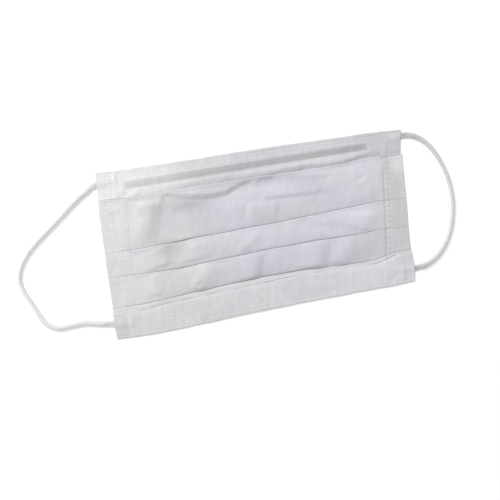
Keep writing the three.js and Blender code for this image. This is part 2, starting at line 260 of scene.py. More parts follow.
def cloth_mesh(name, middle_y, middle_z, x_at, thick, material, values=None):
    """A closed cloth layer. middle_y and middle_z hold its middle line, a row for each place across the width.
    x_at gives x from the row and y, and thick is its thickness at each of those points."""
    y, z = middle_y, middle_z
    ty, tz = np.gradient(y, axis=1), np.gradient(z, axis=1)
    size = np.maximum(np.hypot(ty, tz), 1e-9)
    ny, nz = -tz / size, ty / size
    up = np.stack([x_at(y + ny * thick / 2), y + ny * thick / 2, z + nz * thick / 2], -1)
    under = np.stack([x_at(y - ny * thick / 2), y - ny * thick / 2, z - nz * thick / 2], -1)
    rings = np.concatenate([up, under[:, ::-1]], axis=1)
    rows, count = rings.shape[:2]
    both = {k: np.concatenate([v, v[:, ::-1]], axis=1) for k, v in (values or {}).items()}
    return make_piece(name, rings.reshape(-1, 3), ring_faces(rows, count), material, both)


def spread_out(n, closer=0.0):
    """n places from 0 to 1. The first and last few stand close together, for a rounded end."""
    t = np.linspace(0, 1, n)
    return np.concatenate([[0, 0.10 * closer, 0.28 * closer, 0.6 * closer], t[1:-1], [1 - 0.6 * closer, 1 - 0.28 * closer, 1 - 0.10 * closer, 1]])


def round_ends(distance, reach=0.26):
    """Thickness share near a cut edge, so that the edge is rounded."""
    t = np.clip(distance / reach, 0, 1)
    return 0.3 + 0.7 * np.sqrt(1 - (1 - t) ** 2)


# ---- materials -----------------------------------------------------------------------------------------------
def nodes_of(name):
    material = bpy.data.materials.new(name)
    material.use_nodes = True
    tree = material.node_tree
    tree.nodes.clear()
    out = tree.nodes.new("ShaderNodeOutputMaterial")
    shader = tree.nodes.new("ShaderNodeBsdfPrincipled")
    tree.links.new(shader.outputs["BSDF"], out.inputs["Surface"])
    return material, tree, shader


def math_node(tree, operation, a, b=None, c=None, clamp=False):
    n = tree.nodes.new("ShaderNodeMath")
    n.operation, n.use_clamp = operation, clamp
    for i, v in enumerate((a, b, c)):
        if v is None:
            continue
        if isinstance(v, (int, float)):
            n.inputs[i].default_value = v
        else:
            tree.links.new(v, n.inputs[i])
    return n.outputs[0]


def map_node(tree, value, low, high, to_low=0.0, to_high=1.0, smoothed=True):
    n = tree.nodes.new("ShaderNodeMapRange")
    n.interpolation_type = "SMOOTHSTEP" if smoothed else "LINEAR"
    for key, v in (("From Min", low), ("From Max", high), ("To Min", to_low), ("To Max", to_high)):
        n.inputs[key].default_value = v
    tree.links.new(value, n.inputs["Value"])
    return n.outputs["Result"]


def noise_node(tree, vector, scale, detail=4.0, rough=0.55, distortion=0.0):
    n = tree.nodes.new("ShaderNodeTexNoise")
    n.inputs["Scale"].default_value = scale
    n.inputs["Detail"].default_value = detail
    n.inputs["Roughness"].default_value = rough
    n.inputs["Distortion"].default_value = distortion
    tree.links.new(vector, n.inputs["Vector"])
    return n.outputs["Fac"]


def placed(tree, vector, turn=0.0, stretch=(1, 1, 1), shift=(0, 0, 0)):
    n = tree.nodes.new("ShaderNodeMapping")
    n.inputs["Rotation"].default_value = (0, 0, turn)
    n.inputs["Scale"].default_value = stretch
    n.inputs["Location"].default_value = shift
    tree.links.new(vector, n.inputs["Vector"])
    return n.outputs["Vector"]


def colour_mix(tree, factor, a, b, blend="MIX"):
    n = tree.nodes.new("ShaderNodeMix")
    n.data_type, n.blend_type = "RGBA", blend
    for socket, v in ((n.inputs[0], factor), (n.inputs[6], a), (n.inputs[7], b)):
        if isinstance(v, (int, float)):
            socket.default_value = v
        elif isinstance(v, tuple):
            socket.default_value = (*v, 1.0)
        else:
            tree.links.new(v, socket)
    return n.outputs[2]


def nonwoven(name, left, right, dots, dot_depth, fibre_depth, contrast=1.0, roughness=0.86, turns=(-0.082, 0.01), drifts=3.2):
    """Spunbond cloth: thin fibres laid every way, bonded by rows of small pressed points. Its tint drifts from left
    to right, from a paler tint that is painted light to a more lavender one, and in soft clouds. The attribute 'tone'
    darkens it where something shows through or it is pressed, and carries painted shade (painted light below 0).
    The attribute 'plain' takes it back to the paler left tint, also painted light."""
    material, tree, shader = nodes_of(name)
    place = tree.nodes.new("ShaderNodeTexCoord").outputs["Object"]
    flat = placed(tree, place, stretch=(1, 1, 0.35))

    # pressed points: rows across the cloth, a little uneven, stronger in some places than in others
    lattice = placed(tree, place, stretch=(1, 0.76, 0))
    cell = tree.nodes.new("ShaderNodeTexVoronoi")
    cell.voronoi_dimensions, cell.feature, cell.distance = "2D", "F1", "EUCLIDEAN"
    cell.inputs["Scale"].default_value = 1000 / dots
    cell.inputs["Randomness"].default_value = 0.22
    tree.links.new(lattice, cell.inputs["Vector"])
    dot = map_node(tree, cell.outputs["Distance"], 0.16, 0.42, 1.0, 0.0)
    patches = map_node(tree, noise_node(tree, flat, 150, 3.0, 0.6), 0.30, 0.70, 0.35, 1.0)
    dot = math_node(tree, "MULTIPLY", dot, patches)

    # fibres drawn out in three directions, threads of the web down the cloth, and clumps
    fibres = None
    for n, turn in enumerate((8, 68, 131)):
        drawn = placed(tree, flat, turn=math.radians(turn), stretch=(0.16, 1, 1), shift=(0.013 * n, 0.007 * n, 0))
        f = noise_node(tree, drawn, 3400, 2.0, 0.6, 0.3)
        fibres = f if fibres is None else math_node(tree, "MAXIMUM", fibres, f)
    threads = noise_node(tree, placed(tree, place, stretch=(1, 0.14, 0.5)), 640, 3.0, 0.6)
    clumps = noise_node(tree, flat, 520, 4.0, 0.62)
    cloud = noise_node(tree, flat, 58, 3.0, 0.5)

    # colour
    cut = tree.nodes.new("ShaderNodeSeparateXYZ")
    tree.links.new(place, cut.inputs[0])
    across = map_node(tree, cut.outputs["X"], *turns)
    drift = math_node(tree, "MULTIPLY", math_node(tree, "SUBTRACT", noise_node(tree, flat, 34, 3.0, 0.55), 0.5), drifts)
    plain = tree.nodes.new("ShaderNodeAttribute")
    plain.attribute_name = "plain"
    across = math_node(tree, "SUBTRACT", math_node(tree, "ADD", across, drift), plain.outputs["Fac"], clamp=True)
    base = colour_mix(tree, across, left, right)
    shade = math_node(tree, "ADD", 1.0, math_node(tree, "MULTIPLY", math_node(tree, "SUBTRACT", clumps, 0.5), 0.14 * contrast))
    shade = math_node(tree, "ADD", shade, math_node(tree, "MULTIPLY", math_node(tree, "SUBTRACT", cloud, 0.5), 0.13))
    shade = math_node(tree, "SUBTRACT", shade, math_node(tree, "MULTIPLY", dot, 0.045 * contrast))
    shade = math_node(tree, "ADD", shade, math_node(tree, "MULTIPLY", math_node(tree, "SUBTRACT", threads, 0.5), 0.20 * contrast))
    shade = math_node(tree, "ADD", shade, math_node(tree, "MULTIPLY", math_node(tree, "SUBTRACT", fibres, 0.62), 0.12 * contrast))
    tone = tree.nodes.new("ShaderNodeAttribute")
    tone.attribute_name = "tone"
    shade = math_node(tree, "MULTIPLY", shade, math_node(tree, "SUBTRACT", 1.0, tone.outputs["Fac"]))
    grey = tree.nodes.new("ShaderNodeCombineColor")
    for i in range(3):
        tree.links.new(shade, grey.inputs[i])
    tree.links.new(colour_mix(tree, 1.0, base, grey.outputs[0], "MULTIPLY"), shader.inputs["Base Color"])

    rough = math_node(tree, "SUBTRACT", roughness, math_node(tree, "MULTIPLY", dot, 0.22))
    tree.links.new(rough, shader.inputs["Roughness"])
    shader.inputs["Sheen Weight"].default_value = 0.05
    shader.inputs["Sheen Roughness"].default_value = 0.55
    shader.inputs["Specular IOR Level"].default_value = 0.22

    # relief, in metres
    height = math_node(tree, "MULTIPLY", dot, -dot_depth * MM)
    height = math_node(tree, "ADD", height, math_node(tree, "MULTIPLY", fibres, fibre_depth * MM))
    height = math_node(tree, "ADD", height, math_node(tree, "MULTIPLY", threads, 0.05 * contrast * MM))
    height = math_node(tree, "ADD", height, math_node(tree, "MULTIPLY", clumps, 0.09 * contrast * MM))
    bump = tree.nodes.new("ShaderNodeBump")
    bump.inputs["Strength"].default_value = 1.0
    bump.inputs["Distance"].default_value = 1.0
    tree.links.new(height, bump.inputs["Height"])
    tree.links.new(bump.outputs["Normal"], shader.inputs["Normal"])
    return material


def knitted(name, colour):
    """Soft knitted elastic: the stitches are in the mesh, and the nodes add the yarn's filaments and fuzz. The
    attribute 'deep' darkens the stitches' hollows as painted shade, and 'tone' darkens it further.
    """
    material, tree, shader = nodes_of(name)
    place = tree.nodes.new("ShaderNodeTexCoord").outputs["Object"]
    fuzz = noise_node(tree, place, 5200, 3.0, 0.65, 0.4)
    cloud = noise_node(tree, place, 140, 3.0, 0.5)
    deep = tree.nodes.new("ShaderNodeAttribute")
    deep.attribute_name = "deep"
    shade = math_node(tree, "ADD", 0.95, math_node(tree, "MULTIPLY", cloud, 0.06))
    shade = math_node(tree, "ADD", shade, math_node(tree, "MULTIPLY", math_node(tree, "SUBTRACT", fuzz, 0.5), 0.10))
    # painted shade in the knit's hollows
    shade = math_node(tree, "SUBTRACT", shade, math_node(tree, "MULTIPLY", deep.outputs["Fac"], 0.14))
    tone = tree.nodes.new("ShaderNodeAttribute")
    tone.attribute_name = "tone"
    shade = math_node(tree, "MULTIPLY", shade, math_node(tree, "SUBTRACT", 1.0, tone.outputs["Fac"]))
    grey = tree.nodes.new("ShaderNodeCombineColor")
    for i in range(3):
        tree.links.new(shade, grey.inputs[i])
    tree.links.new(colour_mix(tree, 1.0, colour, grey.outputs[0], "MULTIPLY"), shader.inputs["Base Color"])
    shader.inputs["Roughness"].default_value = 0.88
    shader.inputs["Subsurface Weight"].default_value = 0.75  # light soaks through the loose yarn
    shader.inputs["Subsurface Radius"].default_value = (1.0, 1.0, 1.0)
    shader.inputs["Subsurface Scale"].default_value = 0.0028
    shader.inputs["Sheen Weight"].default_value = 0.1
    shader.inputs["Sheen Roughness"].default_value = 0.5
    shader.inputs["Specular IOR Level"].default_value = 0.25
    bump = tree.nodes.new("ShaderNodeBump")
    bump.inputs["Strength"].default_value = 1.0
    bump.inputs["Distance"].default_value = 1.0
    tree.links.new(math_node(tree, "MULTIPLY", fuzz, 0.06 * MM), bump.inputs["Height"])
    tree.links.new(bump.outputs["Normal"], shader.inputs["Normal"])
    return material


def coated_wire(name):
    """The wire's plastic coat, drawn lengthways."""
    material, tree, shader = nodes_of(name)
    place = tree.nodes.new("ShaderNodeTexCoord").outputs["Object"]
    drawn = noise_node(tree, placed(tree, place, stretch=(0.03, 1, 1)), 2600, 3.0, 0.6)
    shade = math_node(tree, "ADD", 0.9, math_node(tree, "MULTIPLY", drawn, 0.16))
    grey = tree.nodes.new("ShaderNodeCombineColor")
    for i in range(3):
        tree.links.new(shade, grey.inputs[i])
    tree.links.new(colour_mix(tree, 1.0, (0.36, 0.36, 0.38), grey.outputs[0], "MULTIPLY"), shader.inputs["Base Color"])
    shader.inputs["Roughness"].default_value = 0.42
    bump = tree.nodes.new("ShaderNodeBump")
    bump.inputs["Strength"].default_value = 1.0
    bump.inputs["Distance"].default_value = 1.0
    tree.links.new(math_node(tree, "MULTIPLY", drawn, 0.03 * MM), bump.inputs["Height"])
    tree.links.new(bump.outputs["Normal"], shader.inputs["Normal"])
    return material


# the left tints are paler than the right ones: painted light falling from the left; the right ones also lean lavender
m_panel = nonwoven("panel nonwoven", (0.650, 0.642, 0.648), (0.630, 0.611, 0.674), 1.45, 0.03, 0.05, 0.6, turns=(-0.070, 0.0), drifts=2.0)
m_hem = nonwoven("hem nonwoven", (0.690, 0.688, 0.690), (0.632, 0.619, 0.654), 1.45, 0.08, 0.05)
m_band = nonwoven("welded nonwoven", (0.690, 0.686, 0.690), (0.606, 0.590, 0.610), 1.45, 0.06, 0.05, 0.9, 0.78)
m_elastic = knitted("knitted elastic", (0.760, 0.756, 0.762))
m_wire = coated_wire("coated wire")


# ---- ear loops -----------------------------------------------------------------------------------------------
def loop_path(route, steps):
    """Evenly spaced points of a centripetal curve through the route, and how far along each one is."""
    p = np.array(route, float)
    first, last = 2 * p[0] - p[1], 2 * p[-1] - p[-2]
    q = np.vstack([first, p, last])
    fine = []
    for i in range(1, len(q) - 2):
        p0, p1, p2, p3 = q[i - 1 : i + 3]
        t0 = 0.0
        t1 = t0 + math.sqrt(np.linalg.norm(p1 - p0))
        t2 = t1 + math.sqrt(np.linalg.norm(p2 - p1))
        t3 = t2 + math.sqrt(np.linalg.norm(p3 - p2))
        t = np.linspace(t1, t2, 40, endpoint=False)[:, None]
        a1 = (t1 - t) / (t1 - t0) * p0 + (t - t0) / (t1 - t0) * p1
        a2 = (t2 - t) / (t2 - t1) * p1 + (t - t1) / (t2 - t1) * p2
        a3 = (t3 - t) / (t3 - t2) * p2 + (t - t2) / (t3 - t2) * p3
        b1 = (t2 - t) / (t2 - t0) * a1 + (t - t0) / (t2 - t0) * a2
        b2 = (t3 - t) / (t3 - t1) * a2 + (t - t1) / (t3 - t1) * a3
        fine.append((t2 - t) / (t2 - t1) * b1 + (t - t1) / (t2 - t1) * b2)
    fine = np.vstack(fine + [q[-2][None]])
    run = np.concatenate([[0], np.cumsum(np.linalg.norm(np.diff(fine, axis=0), axis=1))])
    s = np.linspace(0, run[-1], steps)
    return np.stack([np.interp(s, run, fine[:, 0]), np.interp(s, run, fine[:, 1])], -1), s


def ear_loop(name, route, material, flatter, thin, grey, painted_end_shade, seed):
    """Knitted round elastic on the surface. flatter says along its length, from 0 to 1, how far it lies relaxed and
    flattened (1) or drawn thin (0), thin is its half width where it is drawn out, grey is painted shade all along it
    (painted light below 0), and painted_end_shade how much more painted shade at its two ends, beside the mask."""
    segments = 48
    rough, s = loop_path(route, 50)
    rings = int(s[-1] / 0.24)
    xy, s = loop_path(route, rings)
    length = s[-1]
    along = np.gradient(xy, axis=0)
    along /= np.linalg.norm(along, axis=1)[:, None]
    across = np.stack([-along[:, 1], along[:, 0]], -1)
    end = np.minimum(s, length - s)
    round_share = smooth((end - 8.8) / 6.0)
    ease = cubic([r["at"] for r in flatter], [r["ease"] for r in flatter])(s / length)
    wide = mix(1.75, mix(thin, 1.54, ease), round_share)
    tall = mix(0.29, thin + 0.04 + (1.14 - thin) * ease, round_share)
    uneven = waves(seed, 26.0, 7.0, 6)
    wide = wide * (1 + 0.025 * uneven(s))
    z = mix(0.68, tall + 0.03, round_share)
    a = np.linspace(0, 2 * math.pi, segments, endpoint=False)[None, :]
    turn = 0.5 * np.sin(s / 23.0 + seed)[:, None]
    wales = 12
    phase = wales * (a + turn) / (2 * math.pi)
    fold = np.abs((phase % 1.0) - 0.5) * 2  # 0 in the middle of a wale, 1 between two
    stitch = 0.5 + 0.5 * np.cos(2 * math.pi * (s[:, None] / 1.05 + 0.42 * fold + 0.5 * (np.floor(phase) % 2)))
    relief = (0.115 * (1 - fold**2) + 0.085 * stitch * (1 - 0.5 * fold)) - 0.12
    relief = relief * mix(0.45, 1.0, round_share)[:, None]
    cos, sin = np.cos(a), np.sin(a)
    w, h = wide[:, None], tall[:, None]
    nx, nz = cos / w, sin / h
    size = np.hypot(nx, nz)
    off_across = w * cos + relief * nx / size
    off_up = np.maximum(h * sin + relief * nz / size, -(z[:, None] - 0.02))
    points = np.stack([
        xy[:, 0:1] + across[:, 0:1] * off_across,
        xy[:, 1:2] + across[:, 1:2] * off_across,
        z[:, None] + off_up,
    ], -1)
    # each end closes on a small flat face: the ring draws in over the last three steps
    for n, share in ((0, 0.35), (1, 0.8), (-1, 0.35), (-2, 0.8)):
        centre = np.array([xy[n, 0], xy[n, 1], z[n]])
        points[n] = centre + (points[n] - centre) * share
    # deep marks the knit's hollows, which the material darkens as painted shade
    piece = make_piece(name, points.reshape(-1, 3), ring_faces(rings, segments), material, {"deep": 1 - (relief + 0.12) / 0.2, "tone": np.repeat(grey + painted_end_shade * np.exp(-((np.maximum(end - 8, 0) / 9.0) ** 2)), segments)})
    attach(piece, "root")
    path = np.stack([xy[:, 0], xy[:, 1], z], -1)[::4] * MM
    return piece, path, float(length) * MM


EASE_LEFT = [dict(at=0, ease=0.9), dict(at=0.12, ease=0.7), dict(at=0.3, ease=0.25), dict(at=0.45, ease=0.0),
             dict(at=0.62, ease=0.1), dict(at=0.72, ease=0.8), dict(at=0.85, ease=1.0), dict(at=1, ease=0.9)]
EASE_RIGHT = [dict(at=0, ease=0.9), dict(at=0.14, ease=0.8), dict(at=0.3, ease=0.3), dict(at=0.5, ease=0.0),
              dict(at=0.68, ease=0.15), dict(at=0.84, ease=0.8), dict(at=1, ease=0.9)]
# the right loop is painted darker all along and more at its ends beside the mask: painted shade; the left one a little
# paler: painted light
left_loop, left_path, left_length = ear_loop("ear_loop_left_knit", LOOP_LEFT, m_elastic, EASE_LEFT, 1.03, -0.05, 0.05, 3)
right_loop, right_path, right_length = ear_loop("ear_loop_right_knit", LOOP_RIGHT, m_elastic, EASE_RIGHT, 1.10, 0.11, 0.22, 5)
for piece, node, path, length in (
    (left_loop, "ear_loop_left", left_path, 0.146),
    (right_loop, "ear_loop_right", right_path, 0.123),
):
    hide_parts(node)


# ---- the panel's relief --------------------------------------------------------------------------------------
# Height of the visible layer's middle above LOW, at the side bands and mid-width, from the line above (0) to the
# line below (1). The last row is the rounded fold edge.
UPPER = [
    dict(t=0.00, band=0.38, middle=0.38),
    dict(t=0.02, band=0.46, middle=0.62),
    dict(t=0.04, band=0.54, middle=0.82),
    dict(t=0.09, band=0.60, middle=1.16),
    dict(t=0.13, band=0.63, middle=1.42),
    dict(t=0.18, band=0.66, middle=1.66),
    dict(t=0.27, band=0.68, middle=1.86),
    dict(t=0.42, band=0.70, middle=1.88),
    dict(t=0.60, band=0.70, middle=1.78),
    dict(t=0.76, band=0.68, middle=1.64),
    dict(t=0.87, band=0.64, middle=1.46),
    dict(t=0.94, band=0.58, middle=1.24),
    dict(t=0.98, band=0.52, middle=1.00),
    dict(t=1.00, band=0.50, middle=0.84),
]
BETWEEN = [
    dict(t=0.00, band=0.02, middle=0.04),
    dict(t=0.07, band=0.22, middle=0.50),
    dict(t=0.16, band=0.42, middle=0.98),
    dict(t=0.28, band=0.54, middle=1.34),
    dict(t=0.50, band=0.62, middle=1.60),
    dict(t=0.74, band=0.64, middle=1.60),
    dict(t=0.86, band=0.62, middle=1.44),
    dict(t=0.94, band=0.57, middle=1.22),
    dict(t=0.98, band=0.52, middle=1.00),
    dict(t=1.00, band=0.50, middle=0.84),
]
STRIP = [
    dict(t=0.00, band=0.02, middle=0.04),
    dict(t=0.30, band=0.18, middle=0.28),
    dict(t=0.65, band=0.34, middle=0.50),
    dict(t=1.00, band=0.46, middle=0.68),
]
# How much each pleat's fold edge stands open, along the width, and how far the layer below comes up close to it.
LIPS = [
    dict(x=-76, p1=0.00, p2=0.00, p3=0.00, near1=0.46, near2=0.40, near3=0.36),
    dict(x=-62, p1=0.00, p2=0.02, p3=0.00, near1=0.54, near2=0.42, near3=0.40),
    dict(x=-54, p1=0.12, p2=0.06, p3=0.02, near1=0.26, near2=0.32, near3=0.32),
    dict(x=-47, p1=0.46, p2=0.16, p3=0.06, near1=0.02, near2=0.18, near3=0.24),
    dict(x=-40, p1=0.26, p2=0.06, p3=0.06, near1=0.16, near2=0.40, near3=0.30),
    dict(x=-30, p1=0.06, p2=0.04, p3=0.06, near1=0.36, near2=0.42, near3=0.30),
    dict(x=-14, p1=0.08, p2=0.04, p3=0.08, near1=0.34, near2=0.44, near3=0.28),
    dict(x=0, p1=0.06, p2=0.06, p3=0.08, near1=0.38, near2=0.40, near3=0.26),
    dict(x=14, p1=0.04, p2=0.08, p3=0.20, near1=0.38, near2=0.34, near3=0.12),
    dict(x=26, p1=0.06, p2=0.08, p3=0.24, near1=0.38, near2=0.34, near3=0.10),
    dict(x=38, p1=0.08, p2=0.10, p3=0.08, near1=0.34, near2=0.34, near3=0.32),
    dict(x=50, p1=0.06, p2=0.10, p3=0.02, near1=0.38, near2=0.30, near3=0.36),
    dict(x=72, p1=0.04, p2=0.06, p3=0.00, near1=0.38, near2=0.36, near3=0.36),
]
# The soft swell that runs beside the nose hem's cut edge, in the hem and in the panel under it: how high, and how
# far above the cut its steepest line lies.
SWELL = [
    dict(x=-66, high=0.00, up=0.3), dict(x=-54, high=0.08, up=0.4), dict(x=-38, high=0.42, up=0.8), dict(x=-22, high=0.55, up=1.0),
    dict(x=-6, high=0.70, up=0.0), dict(x=8, high=0.78, up=0.5), dict(x=24, high=0.86, up=1.3), dict(x=36, high=0.88, up=0.6),
    dict(x=50, high=1.00, up=0.1), dict(x=63, high=0.80, up=1.2), dict(x=70, high=0.42, up=1.0), dict(x=76, high=0.0, up=0.8),
]
swell_high, swell_up = column(SWELL, "x", "high"), column(SWELL, "x", "up")


def swell_by_hem(x, y):
    d = y - (line("noseCut", x) + swell_up(x) + 1.5)
    on = np.clip(swell_high(x), 0, 2) * smooth((x + 66) / 8) * smooth((79 - x) / 14)
    return on * np.exp(-np.where(d < 0, (d / 1.9) ** 2, (d / 2.6) ** 2))


lip_of = [column(LIPS, "x", name) for name in ("p1", "p2", "p3")]
near_of = [column(LIPS, "x", name) for name in ("near1", "near2", "near3")]

# Soft folds and dents that the panel has taken: section, the line along which it runs, half widths to the left and
# right of that way, height (below 0 is a dent), how far it fades at its tips, and the two flanks' shapes.
FOLDS = [
    # upper section
    dict(on=0, way=[(-63.2, 27.0), (-64.0, 20.0), (-65.2, 13.0), (-66.8, 6.0), (-67.3, 3.0)], port=6.4, starboard=9.0, height=1.20, ends=(3, 14), flanks=("ramp", "soft")),
    dict(on=0, way=[(-53.5, 23.0), (-50.5, 21.0)], port=3.0, starboard=3.0, height=-0.16, ends=2, flanks=("soft", "soft")),
    dict(on=0, way=[(-56.7, 27.3), (-48.8, 25.1), (-40.6, 23.9), (-32.5, 22.6), (-26.9, 22.3), (-19.5, 22.9), (-12.2, 26.0), (-4.0, 28.6)], port=2.9, starboard=7.0, height=-1.00, ends=(5, 5), flanks=("ramp", "cusp")),
    dict(on=0, way=[(-3.0, 29.0), (9.5, 29.2)], port=1.6, starboard=2.8, height=-0.60, ends=4, flanks=("soft", "soft")),
    dict(on=0, way=[(-49.0, 19.6), (-33.0, 18.2), (-22.0, 16.6), (-10.0, 14.8)], port=3.0, starboard=7.0, height=0.30, ends=(8, 3), flanks=("soft", "soft")),
    dict(on=0, way=[(-11.0, 14.8), (0.7, 14.3), (10.2, 13.8)], port=2.8, starboard=6.5, height=0.62, ends=(5, 5), flanks=("soft", "soft")),
    dict(on=0, way=[(-2.0, 19.4), (16.0, 18.9), (34.0, 18.2), (46.0, 18.4)], port=5.0, starboard=2.0, height=0.34, ends=(6, 20), flanks=("soft", "ramp")),
    dict(on=0, way=[(-0.7, 17.3), (12.6, 17.0), (27.3, 16.4), (42.0, 16.6)], port=1.4, starboard=3.4, height=-0.14, ends=(7, 16), flanks=("soft", "cusp")),
    dict(on=0, way=[(13.6, 26.3), (25.3, 25.1), (43.0, 23.7)], port=2.0, starboard=3.4, height=-0.42, ends=6, flanks=("soft", "soft")),
    dict(on=0, way=[(54.7, 20.3), (62.9, 22.5)], port=1.4, starboard=1.4, height=-0.22, ends=3, flanks=("soft", "soft")),
    dict(on=0, way=[(48.0, 12.5), (58.0, 10.8), (68.0, 11.8)], port=3.5, starboard=4.5, height=0.30, ends=6, flanks=("soft", "soft")),
    dict(on=0, way=[(-71.0, 24.6), (-67.5, 26.6)], port=1.6, starboard=1.6, height=-0.18, ends=1.5, flanks=("soft", "soft")),
    dict(on=0, way=[(-72.5, 21.0), (-67.0, 23.6)], port=1.5, starboard=2.2, height=0.14, ends=2, flanks=("soft", "soft")),
    # between the first and second pleat
    dict(on=1, way=[(-59.5, 2.0), (-57.8, -4.0), (-56.6, -10.0)], port=4.8, starboard=9.0, height=0.55, ends=3, flanks=("ramp", "soft")),
    dict(on=1, way=[(-42.5, 0.5), (-41.5, -10.0)], port=9.0, starboard=5.5, height=0.45, ends=3, flanks=("soft", "soft")),
    dict(on=1, way=[(-16.3, -8.7), (-10.1, -4.7), (-2.6, 0.3)], port=2.8, starboard=2.8, height=0.36, ends=4, flanks=("soft", "soft")),
    dict(on=1, way=[(17.0, 2.8), (31.4, -1.7), (46.1, -6.3)], port=2.4, starboard=2.8, height=-0.38, ends=6, flanks=("soft", "soft")),
    dict(on=1, way=[(61.0, 2.0), (60.0, -4.0), (58.0, -9.0)], port=7.5, starboard=10.0, height=0.62, ends=3, flanks=("ramp", "soft")),
    # between the second and third pleat
    dict(on=2, way=[(-64.5, -12.0), (-63.5, -18.0), (-62.5, -26.0)], port=5.0, starboard=6.0, height=0.45, ends=4, flanks=("ramp", "soft")),
    dict(on=2, way=[(-48.0, -12.5), (-43.4, -16.8), (-39.5, -22.5)], port=2.4, starboard=2.8, height=0.40, ends=3, flanks=("soft", "soft")),
    dict(on=2, way=[(-32.5, -12.0), (-36.5, -18.5), (-41.0, -27.0)], port=7.5, starboard=5.0, height=0.72, ends=3, flanks=("ramp", "soft")),
    dict(on=2, way=[(-6.2, -11.0), (-7.8, -19.0), (-9.5, -28.0)], port=4.8, starboard=9.0, height=0.70, ends=2, flanks=("ramp", "soft")),
    dict(on=2, way=[(31.0, -10.5), (30.4, -19.0), (29.0, -26.0)], port=6.5, starboard=8.0, height=0.78, ends=2, flanks=("ramp", "soft")),
    dict(on=2, way=[(51.5, -11.0), (46.5, -18.0), (40.0, -25.5)], port=8.0, starboard=4.5, height=0.62, ends=3, flanks=("soft", "soft")),
]
swell = lambda u: 1 - (2 * u - 1) ** 4
uneven_panel = waves(31, 30.0, 7.0, 14)
uneven_fine = waves(32, 7.5, 3.2, 12)


def pressed_thin(u):
    """Share of its thickness that the cloth keeps: the welds at its two sides press it thin."""
    return mix(0.62, 1.0, smooth(u * 148 / 13.0)) * mix(0.62, 1.0, smooth((1 - u) * 148 / 7.0)) + 0.0 * u


def relief_of(section, table, x, y, t, u, edge):
    """Height of the visible layer's middle on one section. t runs from the line above to the line below, edge."""
    at_band = cubic([r["t"] for r in table], [r["band"] for r in table])(t)
    at_middle = cubic([r["t"] for r in table], [r["middle"] for r in table])(t)
    z = mix(at_band, at_middle, swell(u))
    extra = 0.15 * uneven_panel(x, y) + 0.045 * uneven_fine(x, y)
    for f in FOLDS:
        if f["on"] == section:
            extra = extra + 1.5 * stroke(x, y, f["way"], f["port"], f["starboard"], f["height"], f["ends"], f["flanks"])
    hold = smooth(np.minimum(u, 1 - u) * 148 / 7.0)  # the bands hold the cloth flat
    begin = smooth(t / 0.13)  # and so does the fold or the hem above
    near_edge = 1 - 0.45 * smooth((t - 0.85) / 0.15)
    z = z + extra * hold * begin * near_edge + lip_of[section](x) * np.exp(-(((y - edge) / 3.2) ** 2)) * hold
    if section == 0:  # it comes up against the hem, and takes the same swell
        below = line("noseCut", x) - y
        z = z + 0.36 * smooth((below + 0.03) / 0.16) * np.exp(-((np.maximum(below - 0.2, 0) / 1.0) ** 2)) + swell_by_hem(x, y)
    else:
        below = line(("p1", "p2")[section - 1], x) - y
        z = z + 1.3 * near_of[section - 1](x) * smooth((below - 0.04) / 0.24) * np.exp(-((np.maximum(below - 0.28, 0) / 1.5) ** 2))
    # in the pleat's stack three layers need their room
    need = 2 * (CLOTH * pressed_thin(u) + 0.025)
    z = np.where(y < edge + PLEAT_DEPTH + 0.5, np.maximum(z, need), np.maximum(z, 0.2 * smooth(t / 0.1)))
    return LOW + z


def lowest_of(top, u):
    """The hidden lowest layer of a pleat's stack, under a visible layer at that height."""
    return LOW + 0.25 * np.maximum(top - LOW - 1.1, 0)


